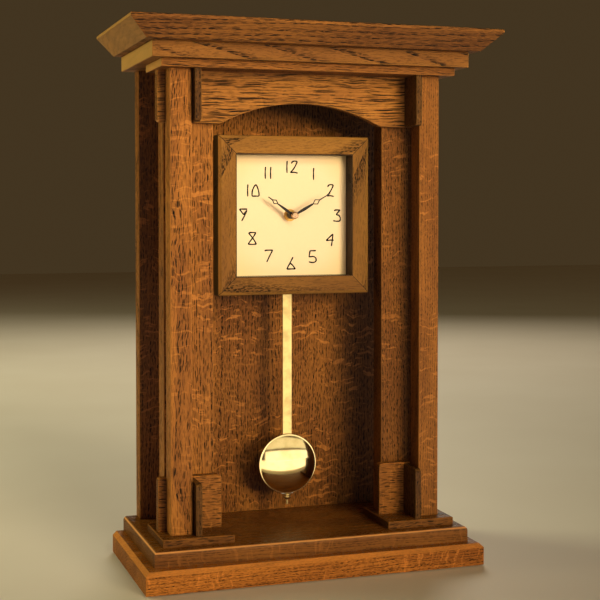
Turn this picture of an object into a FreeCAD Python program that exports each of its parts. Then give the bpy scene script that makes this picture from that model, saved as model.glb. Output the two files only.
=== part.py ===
import FreeCAD, Part
import math
import os

# Oak mantel clock with an open pendulum niche, in millimetres.
# X runs across the front, Y from front to back, Z up. The origin is the bottom centre of the whole clock.

V = FreeCAD.Vector
Y_AXIS = V(0, 1, 0)
Z_AXIS = V(0, 0, 1)
os.makedirs("parts", exist_ok=True)

# ---- Driving dimensions -------------------------------------------------------------------------------
HEIGHT = 546.0                # table to the crown's top
REAR = 90.0                   # rear faces of both slabs, the back board, the cap board and the crown
CROWN_FRONT = -93.35          # front edge of the crown's top
BOARD = 19.0                  # stock thickness of the back board
EASE = 0.6                    # sanded corner on every oak edge

# Base: felt pads, two slabs, two half-depth pads
FELT = 1.2
BASE_HALF, BASE_FRONT, BASE_TOP, BASE_BEVEL = 175.5, -82.0, 23.0, 4.0
PLINTH_HALF, PLINTH_FRONT, PLINTH_TOP, PLINTH_ROUND = 164.0, -67.0, 38.0, 4.0
PAD_OUT, PAD_IN, PAD_FRONT, PAD_REAR, PAD_TOP = 153.3, 81.3, -55.0, 17.6, 46.0

# Front frame: square columns, then the plate and apron layer, then the stiles
COLUMN_OUT, COLUMN, COLUMN_FRONT = 142.0, 21.6, -41.0
LAYER = 9.4
STILE_IN, STILE_DEPTH = 91.0, 22.0
PLATE_OUT, PLATE_IN, PLATE_TOP = 150.0, 85.0, 99.0
APRON_BOTTOM, ARCH_HALF, ARCH_RISE = 450.5, 85.0, 21.5
CORBEL_IN, CORBEL_OUT, CORBEL_FRONT, CORBEL_TOP = 112.8, 119.3, -50.6, 97.4

# Top: thin fillet board, cap board, crown
FILLET_BOTTOM, FILLET_TOP = 501.8, 509.6
CAP_HALF, CAP_FRONT, CAP_TOP = 164.3, -65.0, 525.2
CROWN_LOW_HALF, CROWN_HALF, CROWN_LOW_FRONT, CROWN_LIP = 172.3, 190.2, -76.7, 3.2
BACK_HALF = 150.0

# Dial frame and the box behind it, centred on the hand arbor
ARBOR_Z = 358.6
FRAME_HALF, SIGHT_HALF, FRAME_FRONT, DIAL_Y, FRAME_BEVEL = 82.0, 62.8, 2.6, 21.0, 3.2
CARD, DIAL_BOARD = 0.4, 3.4
BOX_HALF, BOX_WALL = 78.0, 6.0
HATCH_HALF, HATCH_LOW, HATCH_HIGH, HATCH_STOP, DOOR = 56.0, 296.0, 406.0, 5.0, 6.0

# Movement case, its wheels and the pendulum
CASE_HALF, CASE_LOW, CASE_HIGH, CASE_WALL = 36.0, 302.0, 396.0, 1.6
CASE_SPLIT, CASE_REAR = 36.0, 42.4
BUSH_R, BUSH_END = 3.8, 13.0
PIPE_R, ARBOR_R, RUNNING = 2.5, 1.5, 0.06
MINUTE_ANGLE, HOUR_ANGLE = 60.0, 305.0
WHEEL_PITCH = 10.0            # distance from the hand arbor to the setting arbor
THIRD_PITCH = 9.34            # distance from the hand arbor to the third arbor
PIVOT_Z = 335.0               # the pendulum turns about Y here
ROD_FRONT, ROD_THICK, ROD_HALF, ROD_TOP, ROD_LOW = 29.7, 1.0, 4.8, 298.0, 70.0
STUD_R, STUD_LOW, SHELF_LOW = 1.2, 52.0, 63.55
BOB_Z, BOB_R, BOB_DOME = 95.5, 31.7, 8.0
BATTERY_Y, BATTERY_Z, BATTERY_R = 34.3, 384.0, 7.25

# ---- Derived sizes ------------------------------------------------------------------------------------
COLUMN_REAR = COLUMN_FRONT + COLUMN
STILE_FRONT = COLUMN_REAR + LAYER
STILE_REAR = STILE_FRONT + STILE_DEPTH
BACK_FRONT = REAR - BOARD
DIAL_BOARD_REAR = DIAL_Y + DIAL_BOARD
CASE_INNER = DIAL_BOARD_REAR + CASE_WALL
STUD_Y = ROD_FRONT + STUD_R
SETTING_X = WHEEL_PITCH * math.sin(math.radians(45))
SETTING_Z = ARBOR_Z - WHEEL_PITCH * math.cos(math.radians(45))
THIRD_X = -THIRD_PITCH * math.sin(math.radians(45))
THIRD_Z = ARBOR_Z + THIRD_PITCH * math.cos(math.radians(45))


# ---- Small helpers ------------------------------------------------------------------------------------
def box(x0, x1, y0, y1, z0, z1):
    return Part.makeBox(x1 - x0, y1 - y0, z1 - z0, V(x0, y0, z0))


def rod_y(x, z, r, y0, y1):
    """Round bar along Y."""
    return Part.makeCylinder(r, y1 - y0, V(x, y0, z), Y_AXIS)


def tube_y(x, z, r, bore, y0, y1):
    return rod_y(x, z, r, y0, y1).cut(rod_y(x, z, bore, y0 - 1, y1 + 1))


def plate_xz(points, y0, y1):
    """Flat plate from an outline in the X-Z plane."""
    wire = Part.makePolygon([V(x, y0, z) for x, z in points + points[:1]])
    return Part.Face(wire).extrude(V(0, y1 - y0, 0))


def plate_yz(points, x0, x1):
    """Flat plate from an outline in the Y-Z plane."""
    wire = Part.makePolygon([V(x0, y, z) for y, z in points + points[:1]])
    return Part.Face(wire).extrude(V(x1 - x0, 0, 0))


def edges(shape, keep):
    """Edges whose end points all pass the test keep(x, y, z)."""
    return [e for e in shape.Edges if all(keep(v.X, v.Y, v.Z) for v in e.Vertexes)]


def same(a, b):
    return abs(a - b) < 0.01


def eased(shape, size=EASE):
    """Board with every edge sanded to a small chamfer."""
    return shape.makeChamfer(size, shape.Edges)


def mirrored(shape):
    return shape.mirror(V(0, 0, 0), V(1, 0, 0))


def about_arbor(shape, degrees):
    """Turn a hand clockwise from twelve, as seen from the front."""
    turned = shape.copy()
    turned.rotate(V(0, 0, ARBOR_Z), Y_AXIS, degrees)
    return turned


def save(name, shape):
    solids = shape.Solids
    result = solids[0] if len(solids) == 1 else Part.makeCompound(solids)
    result.exportStep("parts/" + name + ".step")


def save_pair(name, shape):
    """The shape drawn on the right side (+X), and its mirror image on the left."""
    save(name + "_right", shape)
    save(name + "_left", mirrored(shape))


# ---- Base ---------------------------------------------------------------------------------------------
def felt_pads():
    radius, inset = 9.0, 20.0
    spots = [(sx * (BASE_HALF - inset), y) for sx in (-1, 1) for y in (BASE_FRONT + inset, REAR - inset)]
    return Part.makeCompound([Part.makeCylinder(radius, FELT, V(x, y, 0)) for x, y in spots])


def slab_profile(half, front, low, high, bevel):
    """Slab whose top edge is bevelled at the front and both ends; the rear face is plain."""
    across = plate_xz([(-half, low), (half, low), (half, high - bevel), (half - bevel, high),
                       (-half + bevel, high), (-half, high - bevel)], front, REAR)
    along = plate_yz([(front, low), (REAR, low), (REAR, high), (front + bevel, high),
                      (front, high - bevel)], -half, half)
    return across.common(along)


def base_slab():
    slab = slab_profile(BASE_HALF, BASE_FRONT, FELT, BASE_TOP, BASE_BEVEL)
    upright = edges(slab, lambda x, y, z: same(y, BASE_FRONT) and z < BASE_TOP and same(abs(x), BASE_HALF))
    return slab.makeChamfer(EASE, [e for e in upright if e.Vertexes[0].Z != e.Vertexes[1].Z])


def plinth_slab():
    slab = box(-PLINTH_HALF, PLINTH_HALF, PLINTH_FRONT, REAR, BASE_TOP, PLINTH_TOP)
    top = edges(slab, lambda x, y, z: same(z, PLINTH_TOP))
    rounded = [e for e in top if not all(same(v.Y, REAR) for v in e.Vertexes)]
    return slab.makeFillet(PLINTH_ROUND, rounded)


def pad():
    return eased(box(PAD_IN, PAD_OUT, PAD_FRONT, PAD_REAR, PLINTH_TOP, PAD_TOP), 0.8)


# ---- Front frame --------------------------------------------------------------------------------------
def column():
    return eased(box(COLUMN_OUT - COLUMN, COLUMN_OUT, COLUMN_FRONT, COLUMN_REAR, PAD_TOP, FILLET_BOTTOM))


def stile():
    return eased(box(STILE_IN, COLUMN_OUT, STILE_FRONT, STILE_REAR, PAD_TOP, FILLET_BOTTOM))


def plinth_plate():
    corner, front_round = 4.0, 1.4
    plate = box(PLATE_IN, PLATE_OUT, COLUMN_REAR, STILE_FRONT, PAD_TOP, PLATE_TOP)
    top = edges(plate, lambda x, y, z: same(z, PLATE_TOP))
    plate = plate.makeFillet(corner, [e for e in top if same(e.Vertexes[0].X, e.Vertexes[1].X)])
    front = [e for e in plate.Edges if all(same(v.Y, COLUMN_REAR) for v in e.Vertexes)
             and not all(same(v.Z, PAD_TOP) for v in e.Vertexes)]
    return plate.makeFillet(front_round, front)


def apron():
    """Arched rail: the arch is one arc, eased into the flat ends of the lower edge."""
    corner, front_round, ease_in = 4.0, 1.2, 9.0
    rail = box(-PLATE_OUT, PLATE_OUT, COLUMN_REAR, STILE_FRONT, APRON_BOTTOM, FILLET_BOTTOM)
    low = edges(rail, lambda x, y, z: same(z, APRON_BOTTOM))
    rail = rail.makeFillet(corner, [e for e in low if same(e.Vertexes[0].X, e.Vertexes[1].X)])
    radius = (ARCH_HALF ** 2 + ARCH_RISE ** 2) / (2 * ARCH_RISE)
    centre = APRON_BOTTOM + ARCH_RISE - radius
    rail = rail.cut(rod_y(0, centre, radius, COLUMN_REAR - 1, STILE_FRONT + 1))
    springing = [e for e in edges(rail, lambda x, y, z: same(z, APRON_BOTTOM) and same(abs(x), ARCH_HALF))
                 if same(e.Vertexes[0].X, e.Vertexes[1].X)]
    rail = rail.makeFillet(ease_in, springing)
    front = [e for e in rail.Edges if all(same(v.Y, COLUMN_REAR) for v in e.Vertexes)
             and not all(same(v.Z, FILLET_BOTTOM) for v in e.Vertexes)]
    return rail.makeFillet(front_round, front)


def corbel(low, high, rounded_z):
    """Thin upright blade beside a column; its front corner at rounded_z is rounded."""
    radius = 4.5
    blade = box(CORBEL_IN, CORBEL_OUT, CORBEL_FRONT, COLUMN_REAR, low, high)
    tip = edges(blade, lambda x, y, z: same(y, CORBEL_FRONT) and same(z, rounded_z))
    blade = blade.makeFillet(radius, tip)
    sides = [e for e in blade.Edges if all(same(v.X, e.Vertexes[0].X) for v in e.Vertexes)
             and all(v.Y < COLUMN_REAR - 1 for v in e.Vertexes)]
    return blade.makeChamfer(EASE, sides)


# ---- Top ----------------------------------------------------------------------------------------------
def fillet_board():
    return eased(box(-PAD_OUT, PAD_OUT, PAD_FRONT, PAD_REAR, FILLET_BOTTOM, FILLET_TOP))


def cap_board():
    return eased(box(-CAP_HALF, CAP_HALF, CAP_FRONT, REAR, FILLET_TOP, CAP_TOP))


def crown_slab():
    """Slab that widens upwards at the front and both ends to a narrow upright lip."""
    lip = HEIGHT - CROWN_LIP
    across = plate_xz([(-CROWN_LOW_HALF, CAP_TOP), (CROWN_LOW_HALF, CAP_TOP), (CROWN_HALF, lip),
                       (CROWN_HALF, HEIGHT), (-CROWN_HALF, HEIGHT), (-CROWN_HALF, lip)], CROWN_FRONT, REAR)
    along = plate_yz([(CROWN_LOW_FRONT, CAP_TOP), (REAR, CAP_TOP), (REAR, HEIGHT), (CROWN_FRONT, HEIGHT),
                      (CROWN_FRONT, lip)], -CROWN_HALF, CROWN_HALF)
    slab = across.common(along)
    return slab.makeChamfer(EASE, edges(slab, lambda x, y, z: same(z, HEIGHT)))


# ---- Back board and rear hatch ------------------------------------------------------------------------
DOOR_GAP = 0.7
DOOR_HALF = HATCH_HALF + HATCH_STOP - DOOR_GAP
HINGE_X, HINGE_Y, KNUCKLE_R, PIN_R = HATCH_HALF + HATCH_STOP - DOOR_GAP / 2, 91.85, 1.5, 0.8
HINGE_Z = (318.0, 384.0)
BUTTON_X, BUTTON_Z, BUTTON_SCREW_R = -68.0, 351.0, 1.5


def back_board():
    board = eased(box(-BACK_HALF, BACK_HALF, BACK_FRONT, REAR, PLINTH_TOP, FILLET_TOP))
    hatch = box(-HATCH_HALF, HATCH_HALF, BACK_FRONT - 1, REAR + 1, HATCH_LOW, HATCH_HIGH)
    rebate_half = HATCH_HALF + HATCH_STOP
    rebate = box(-rebate_half, rebate_half, REAR - DOOR - 0.4, REAR + 1,
                 HATCH_LOW - HATCH_STOP, HATCH_HIGH + HATCH_STOP)
    screw_hole = rod_y(BUTTON_X, BUTTON_Z, BUTTON_SCREW_R, REAR - 9, REAR + 1)
    return board.cut(hatch).cut(rebate).cut(screw_hole)


def rear_door():
    low, high = HATCH_LOW - HATCH_STOP + DOOR_GAP, HATCH_HIGH + HATCH_STOP - DOOR_GAP
    return eased(box(-DOOR_HALF, DOOR_HALF, REAR - DOOR, REAR, low, high), 0.4)


def knuckle(z, half_length, bore):
    outer = Part.makeCylinder(KNUCKLE_R, 2 * half_length, V(HINGE_X, HINGE_Y, z - half_length), Z_AXIS)
    return outer.cut(Part.makeCylinder(bore, 2 * half_length + 2,
                                       V(HINGE_X, HINGE_Y, z - half_length - 1), Z_AXIS))


HINGE_HALF, KNUCKLE_HALF, LEAF, LEAF_LONG = 13.0, 4.0, 1.2, 12.0


def hinge_leaf(z, side, knuckles, bore):
    """Leaf on one side of the barrel, with its own knuckles (centre height, half length)."""
    reach = KNUCKLE_R * 0.5
    near, far = HINGE_X + side * (KNUCKLE_R + 0.2), HINGE_X + side * LEAF_LONG
    leaf = box(min(near, far), max(near, far), REAR, REAR + LEAF, z - HINGE_HALF, z + HINGE_HALF)
    for centre, half in knuckles:
        inner = HINGE_X + side * reach
        tongue = box(min(inner, near), max(inner, near), HINGE_Y - 0.9, HINGE_Y - 0.1,
                     z + centre - half, z + centre + half)
        bridge = box(min(near, near + side), max(near, near + side), HINGE_Y - 0.9, HINGE_Y - 0.1,
                     z + centre - half, z + centre + half)
        clear = Part.makeCylinder(bore, 2 * half + 2, V(HINGE_X, HINGE_Y, z + centre - half - 1), Z_AXIS)
        leaf = leaf.fuse([tongue.cut(clear), bridge, knuckle(z + centre, half, bore)])
    return leaf.removeSplitter()


def hinges():
    gap = 0.35
    outer_half = (HINGE_HALF - KNUCKLE_HALF - gap) / 2
    outer_at = KNUCKLE_HALF + gap + outer_half
    fixed = [hinge_leaf(z, 1, ((-outer_at, outer_half), (outer_at, outer_half)), PIN_R) for z in HINGE_Z]
    moving = [hinge_leaf(z, -1, ((0.0, KNUCKLE_HALF),), PIN_R + RUNNING) for z in HINGE_Z]
    pins = [Part.makeCylinder(PIN_R, 2 * HINGE_HALF, V(HINGE_X, HINGE_Y, z - HINGE_HALF), Z_AXIS)
            for z in HINGE_Z]
    return Part.makeCompound(fixed), Part.makeCompound(moving), Part.makeCompound(pins)


def turn_button():
    """Brass bar with round ends; upright it clears the door, turned level it holds the door shut."""
    half_length, half_width, thick, lift = 12.0, 4.0, 1.5, 0.35
    y0, y1 = REAR + lift, REAR + lift + thick
    bar = box(BUTTON_X - half_width, BUTTON_X + half_width, y0, y1,
              BUTTON_Z - half_length + half_width, BUTTON_Z + half_length - half_width)
    for end in (-1, 1):
        bar = bar.fuse(rod_y(BUTTON_X, BUTTON_Z + end * (half_length - half_width), half_width, y0, y1))
    bar = bar.removeSplitter().cut(rod_y(BUTTON_X, BUTTON_Z, BUTTON_SCREW_R + RUNNING, y0 - 1, y1 + 1))
    return bar.makeChamfer(0.3, [e for e in bar.Edges if all(same(v.Y, y1) for v in e.Vertexes)])


def button_screw():
    head_r, head_y, proud = 3.0, REAR + 2.15, REAR + 3.35
    screw = rod_y(BUTTON_X, BUTTON_Z, BUTTON_SCREW_R, REAR - 8.5, head_y)
    head = rod_y(BUTTON_X, BUTTON_Z, head_r, head_y, proud)
    rim = [e for e in head.Edges if len(e.Vertexes) == 1 and same(e.Vertexes[0].Y, proud)]
    head = head.makeChamfer(0.4, rim)
    slot = box(BUTTON_X - head_r, BUTTON_X + head_r, proud - 0.6, proud + 1, BUTTON_Z - 0.35, BUTTON_Z + 0.35)
    return screw.fuse(head).removeSplitter().cut(slot)


# ---- Dial frame, dial and box -------------------------------------------------------------------------
def frame_rail(quarter):
    """One mitred rail with a bevelled outer edge; quarter 0 is the top rail, then clockwise."""
    depth = DIAL_Y - FRAME_FRONT
    profile = [(0, SIGHT_HALF), (0, FRAME_HALF - FRAME_BEVEL), (FRAME_BEVEL, FRAME_HALF),
               (depth, FRAME_HALF), (depth, SIGHT_HALF)]
    bar = plate_yz([(FRAME_FRONT + d, ARBOR_Z + r) for d, r in profile], -FRAME_HALF, FRAME_HALF)
    mitre = plate_xz([(-1, ARBOR_Z + 1), (1, ARBOR_Z + 1), (FRAME_HALF + 9, ARBOR_Z + FRAME_HALF + 9),
                      (-FRAME_HALF - 9, ARBOR_Z + FRAME_HALF + 9)], FRAME_FRONT - 1, DIAL_Y + 1)
    return about_arbor(bar.common(mitre), 90 * quarter)


DIAL_HALF, DIAL_SCREW_R, DIAL_SCREW_AT = 70.0, 1.4, 72.5


def dial_sheet():
    card = box(-DIAL_HALF, DIAL_HALF, DIAL_Y, DIAL_Y + CARD, ARBOR_Z - DIAL_HALF, ARBOR_Z + DIAL_HALF)
    return card.cut(rod_y(0, ARBOR_Z, BUSH_R + 0.2, DIAL_Y - 1, DIAL_Y + 2))


def screw_spots():
    return [(sx * DIAL_SCREW_AT, ARBOR_Z + sz * DIAL_SCREW_AT) for sx in (-1, 1) for sz in (-1, 1)]


def dial_board():
    """Backing board with a shallow seat for the dial card and a hole for the movement's bush."""
    board = box(-BOX_HALF, BOX_HALF, DIAL_Y, DIAL_BOARD_REAR, ARBOR_Z - BOX_HALF, ARBOR_Z + BOX_HALF)
    board = board.cut(box(-DIAL_HALF, DIAL_HALF, DIAL_Y - 1, DIAL_Y + CARD,
                          ARBOR_Z - DIAL_HALF, ARBOR_Z + DIAL_HALF))
    board = board.cut(rod_y(0, ARBOR_Z, BUSH_R + 0.2, DIAL_Y - 1, DIAL_BOARD_REAR + 1))
    for x, z in screw_spots():
        board = board.cut(rod_y(x, z, DIAL_SCREW_R, DIAL_Y - 1, DIAL_BOARD_REAR + 1))
    return board


def box_walls():
    """Four walls from the dial board back to the back board; the floor is notched for the pendulum."""
    low, high = ARBOR_Z - BOX_HALF, ARBOR_Z + BOX_HALF
    notch_half, notch_rear = 24.0, 40.0
    side = box(BOX_HALF - BOX_WALL, BOX_HALF, DIAL_BOARD_REAR, BACK_FRONT, low, high)
    for x, z in screw_spots():
        side = side.cut(rod_y(x, z, 3.2, DIAL_BOARD_REAR - 1, DIAL_BOARD_REAR + 4))
    inner = BOX_HALF - BOX_WALL
    roof = box(-inner, inner, DIAL_BOARD_REAR, BACK_FRONT, high - BOX_WALL, high)
    floor = box(-inner, inner, DIAL_BOARD_REAR, BACK_FRONT, low, low + BOX_WALL)
    for x, z in screw_spots():
        roof = roof.cut(rod_y(x, z, 3.2, DIAL_BOARD_REAR - 1, DIAL_BOARD_REAR + 4))
        floor = floor.cut(rod_y(x, z, 3.2, DIAL_BOARD_REAR - 1, DIAL_BOARD_REAR + 4))
    floor = floor.cut(box(-notch_half, notch_half, DIAL_BOARD_REAR - 1, notch_rear, low - 1, low + 20))
    return side, roof, floor


def dial_screws():
    """Four countersink-headed screws driven from behind through the dial board into the frame."""
    head_r, head_thick, length = 2.8, 1.8, 13.0
    screws = []
    for x, z in screw_spots():
        shank = rod_y(x, z, DIAL_SCREW_R, DIAL_BOARD_REAR - length, DIAL_BOARD_REAR)
        screws.append(shank.fuse(rod_y(x, z, head_r, DIAL_BOARD_REAR, DIAL_BOARD_REAR + head_thick)))
    return Part.makeCompound(screws)


def drilled_for_screws(rail):
    """Pilot holes for the dial screws in the rear of a frame rail."""
    for x, z in screw_spots():
        rail = rail.cut(rod_y(x, z, DIAL_SCREW_R, DIAL_BOARD_REAR - 13.5, DIAL_Y + 1))
    return rail


# ---- Hands --------------------------------------------------------------------------------------------
def hand(length, blade_end, blade_half, diamond_at, diamond_long, diamond_half, y0, y1):
    """Flat hand pointing to twelve: swelling blade, open diamond, slim tip."""
    stem, ring = 0.65, 0.95
    blade = plate_xz([(-0.8, ARBOR_Z), (-blade_half, ARBOR_Z + blade_end * 0.55),
                      (-1.0, ARBOR_Z + blade_end), (-stem, diamond_at - diamond_long + ARBOR_Z + 0.8),
                      (stem, diamond_at - diamond_long + ARBOR_Z + 0.8), (1.0, ARBOR_Z + blade_end),
                      (blade_half, ARBOR_Z + blade_end * 0.55), (0.8, ARBOR_Z)], y0, y1)
    centre = ARBOR_Z + diamond_at
    outer = plate_xz([(0, centre - diamond_long), (diamond_half, centre), (0, centre + diamond_long),
                      (-diamond_half, centre)], y0, y1)
    slant = math.hypot(diamond_long, diamond_half) / (diamond_long * diamond_half) * ring
    keep = 1 - slant
    hole = plate_xz([(0, centre - diamond_long * keep), (diamond_half * keep, centre),
                     (0, centre + diamond_long * keep), (-diamond_half * keep, centre)], y0 - 1, y1 + 1)
    tip = plate_xz([(-stem, centre + diamond_long - 0.9), (-0.45, ARBOR_Z + length),
                    (0.45, ARBOR_Z + length), (stem, centre + diamond_long - 0.9)], y0, y1)
    return blade.fuse([outer, tip]).cut(hole)


HOUR_HAND_Y, MINUTE_HAND_Y, HAND_THICK, CAP_FRONT_Y = 8.6, 5.2, 0.7, 2.2


def hour_hand():
    hub_r, hub_rear = 3.5, 12.4
    blade = hand(33.2, 16.5, 1.5, 24.2, 4.6, 2.7, HOUR_HAND_Y, HOUR_HAND_Y + HAND_THICK)
    hub = rod_y(0, ARBOR_Z, hub_r, HOUR_HAND_Y, hub_rear)
    whole = blade.fuse(hub).removeSplitter().cut(rod_y(0, ARBOR_Z, PIPE_R, HOUR_HAND_Y - 1, hub_rear + 1))
    return about_arbor(whole, HOUR_ANGLE)


def minute_hand():
    hub_r, hub_rear = 3.3, 7.6
    blade = hand(45.4, 22.5, 1.6, 27.8, 5.2, 3.1, MINUTE_HAND_Y, MINUTE_HAND_Y + HAND_THICK)
    hub = rod_y(0, ARBOR_Z, hub_r, MINUTE_HAND_Y, hub_rear)
    whole = blade.fuse(hub).removeSplitter().cut(rod_y(0, ARBOR_Z, ARBOR_R, MINUTE_HAND_Y - 1, hub_rear + 1))
    return about_arbor(whole, MINUTE_ANGLE)


def hand_cap_nut():
    radius, round_over, bore_depth = 3.8, 1.3, 1.8
    cap = rod_y(0, ARBOR_Z, radius, CAP_FRONT_Y, MINUTE_HAND_Y)
    cap = cap.makeFillet(round_over, [e for e in cap.Edges if all(same(v.Y, CAP_FRONT_Y) for v in e.Vertexes)
                                      and e.Length > 1.5 * radius * math.pi])
    return cap.cut(rod_y(0, ARBOR_Z, ARBOR_R, MINUTE_HAND_Y - bore_depth, MINUTE_HAND_Y + 1))


# ---- Movement -----------------------------------------------------------------------------------------
def toothed(x, z, pitch_r, teeth, y0, y1, bore=0.0):
    """Fine-toothed wheel along Y, its tips kept just inside the pitch circle so that wheels never touch."""
    tip, root = pitch_r - 0.08, pitch_r - 0.08 - min(0.45, 0.22 * pitch_r)
    points = []
    for i in range(2 * teeth):
        angle, r = math.pi * i / teeth, (tip if i % 2 else root)
        points.append((x + r * math.cos(angle), z + r * math.sin(angle)))
    wheel = plate_xz(points, y0, y1)
    return wheel.cut(rod_y(x, z, bore, y0 - 1, y1 + 1)) if bore else wheel


def front_case():
    """Tray with the threaded bush in front and the pendulum's pivot pin inside."""
    case = box(-CASE_HALF, CASE_HALF, DIAL_BOARD_REAR, CASE_SPLIT, CASE_LOW, CASE_HIGH)
    corner = [e for e in edges(case, lambda x, y, z: True) if same(e.Vertexes[0].X, e.Vertexes[1].X)
              and same(e.Vertexes[0].Z, e.Vertexes[1].Z)]
    case = case.makeFillet(3.0, corner)
    case = case.cut(box(-CASE_HALF + CASE_WALL, CASE_HALF - CASE_WALL, CASE_INNER, CASE_SPLIT + 1,
                        CASE_LOW + CASE_WALL, CASE_HIGH - CASE_WALL))
    case = case.cut(box(-10, 10, CASE_INNER, CASE_SPLIT + 1, CASE_LOW - 1, CASE_LOW + CASE_WALL + 1))
    case = case.fuse([rod_y(0, ARBOR_Z, BUSH_R, BUSH_END, DIAL_BOARD_REAR),
                      rod_y(0, PIVOT_Z, 1.5, CASE_INNER - 0.5, CASE_SPLIT)]).removeSplitter()
    for x, z in ((SETTING_X, SETTING_Z), (THIRD_X, THIRD_Z)):
        case = case.cut(rod_y(x, z, 0.8 + RUNNING, CASE_INNER - 0.9, CASE_INNER + 1))
    return case.cut(rod_y(0, ARBOR_Z, PIPE_R + RUNNING, BUSH_END - 1, CASE_INNER + 1))


def rear_case():
    """Cover plate with the trough that holds the cell, open to the rear."""
    bay_half, bay_low, bay_high, wall = 27.4, 376.2, 391.8, 1.2
    plate = box(-CASE_HALF, CASE_HALF, CASE_SPLIT, CASE_SPLIT + CASE_WALL, CASE_LOW, CASE_HIGH)
    trough = box(-bay_half - wall, bay_half + wall, CASE_INNER + 0.2, CASE_REAR, bay_low - wall, bay_high + wall)
    cover = plate.fuse(trough).removeSplitter()
    cover = cover.cut(box(-bay_half, bay_half, CASE_INNER - 1, CASE_REAR + 1, bay_low, bay_high))
    cover = cover.cut(rod_y(SETTING_X, SETTING_Z, 0.8 + RUNNING, CASE_SPLIT - 1, CASE_REAR))
    cover = cover.cut(rod_y(THIRD_X, THIRD_Z, 0.8 + RUNNING, CASE_SPLIT - 1, CASE_SPLIT + 0.9))
    return cover.cut(rod_y(0, ARBOR_Z, ARBOR_R + RUNNING, CASE_SPLIT - 1, CASE_SPLIT + 1.0))


def minute_arbor():
    """Hand arbor with the cannon pinion (10 teeth) and the centre wheel (64 teeth)."""
    shaft = rod_y(0, ARBOR_Z, ARBOR_R, MINUTE_HAND_Y - 1.6, CASE_SPLIT + 0.9)
    pinion = toothed(0, ARBOR_Z, 2.5, 10, 28.9, 30.4)
    wheel = toothed(0, ARBOR_Z, 8.3, 64, 31.2, 32.2)
    return shaft.fuse([pinion, wheel]).removeSplitter()


def hour_wheel():
    """Pipe that carries the hour hand, with its wheel (32 teeth)."""
    wheel = toothed(0, ARBOR_Z, 8.0, 32, 26.9, 28.0)
    pipe = rod_y(0, ARBOR_Z, PIPE_R, HOUR_HAND_Y - 0.4, 26.9)
    return pipe.fuse(wheel).removeSplitter().cut(rod_y(0, ARBOR_Z, ARBOR_R + RUNNING, 0, CASE_REAR))


def minute_wheel():
    """Setting arbor: wheel (30 teeth) driven by the cannon pinion, pinion (8 teeth) driving the hour wheel."""
    arbor = rod_y(SETTING_X, SETTING_Z, 0.8, CASE_INNER - 0.8, 41.0)
    wheel = toothed(SETTING_X, SETTING_Z, 7.5, 30, 28.9, 30.4)
    pinion = toothed(SETTING_X, SETTING_Z, 2.0, 8, 26.6, 28.9)
    return arbor.fuse([wheel, pinion]).removeSplitter()


def setting_knob():
    knob = toothed(SETTING_X, SETTING_Z, 6.6, 36, CASE_SPLIT + CASE_WALL + 0.8, 42.0)
    return knob.cut(rod_y(SETTING_X, SETTING_Z, 0.8, CASE_SPLIT, 41.0))


def third_wheel():
    arbor = rod_y(THIRD_X, THIRD_Z, 0.8, CASE_INNER - 0.8, CASE_SPLIT + 0.8)
    pinion = toothed(THIRD_X, THIRD_Z, 1.04, 8, 31.0, 33.4)
    wheel = toothed(THIRD_X, THIRD_Z, 5.6, 48, 33.4, 34.4)
    return arbor.fuse([pinion, wheel]).removeSplitter()


def mounting_nut():
    """Thin hexagon nut on the bush, clamping the dial from the front."""
    across_corners, y0, y1 = 5.9, 18.6, 20.6
    points = [(across_corners * math.cos(math.radians(60 * i)),
               ARBOR_Z + across_corners * math.sin(math.radians(60 * i))) for i in range(6)]
    nut = plate_xz(points, y0, y1).cut(rod_y(0, ARBOR_Z, BUSH_R, y0 - 1, y1 + 1))
    return nut


def stepper_motor():
    """Stator plate with its rotor hole, and a winding between two bobbin cheeks, axis upright."""
    stator = box(-29, -13, CASE_INNER + 0.3, CASE_INNER + 1.1, 340, 374)
    stator = stator.cut(rod_y(-18.0, 368.0, 3.2, CASE_INNER, CASE_INNER + 2))
    y = CASE_INNER + 1.1 + 4.4
    coil = Part.makeCylinder(3.9, 18, V(-25.0, y, 344), Z_AXIS)
    cheeks = [Part.makeCylinder(4.4, 1.2, V(-25.0, y, z), Z_AXIS) for z in (343.0, 361.8)]
    return Part.makeCompound([stator, coil.fuse(cheeks).removeSplitter()])


def circuit_board():
    board = box(15, 33, 33.4, 34.4, 306, 372)
    chip = box(20, 28, 32.2, 33.4, 330, 338)
    crystal = Part.makeCylinder(1.5, 8, V(24, 31.9, 346), Z_AXIS)
    return board.fuse([chip, crystal]).removeSplitter()


def drive_coil():
    """Flat coil behind the hanger's magnet, on a tab of the cover."""
    coil = tube_y(0, 318.0, 6.5, 1.6, 32.2, 34.6)
    tab = box(-4, 4, 34.6, CASE_SPLIT, 310, 326)
    return coil.fuse(tab).removeSplitter()


def battery():
    body = Part.makeCylinder(BATTERY_R, 49.0, V(-25.0, BATTERY_Y, BATTERY_Z), V(1, 0, 0))
    body = body.makeFillet(0.8, [e for e in body.Edges if e.Length > 40 and len(e.Vertexes) == 1])
    nub = Part.makeCylinder(2.7, 1.5, V(23.9, BATTERY_Y, BATTERY_Z), V(1, 0, 0))
    return body.fuse(nub).removeSplitter()


def battery_contacts():
    plates = [box(x, x + 0.4, 29.5, 39.5, BATTERY_Z - 4, BATTERY_Z + 4) for x in (-26.0, 26.0)]
    wings = [box(-27.4, -25.6, 36.0, 37.0, BATTERY_Z - 4, BATTERY_Z + 4),
             box(26.0, 27.4, 36.0, 37.0, BATTERY_Z - 4, BATTERY_Z + 4)]
    return Part.makeCompound([plates[0].fuse(wings[0]), plates[1].fuse(wings[1])])


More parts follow.
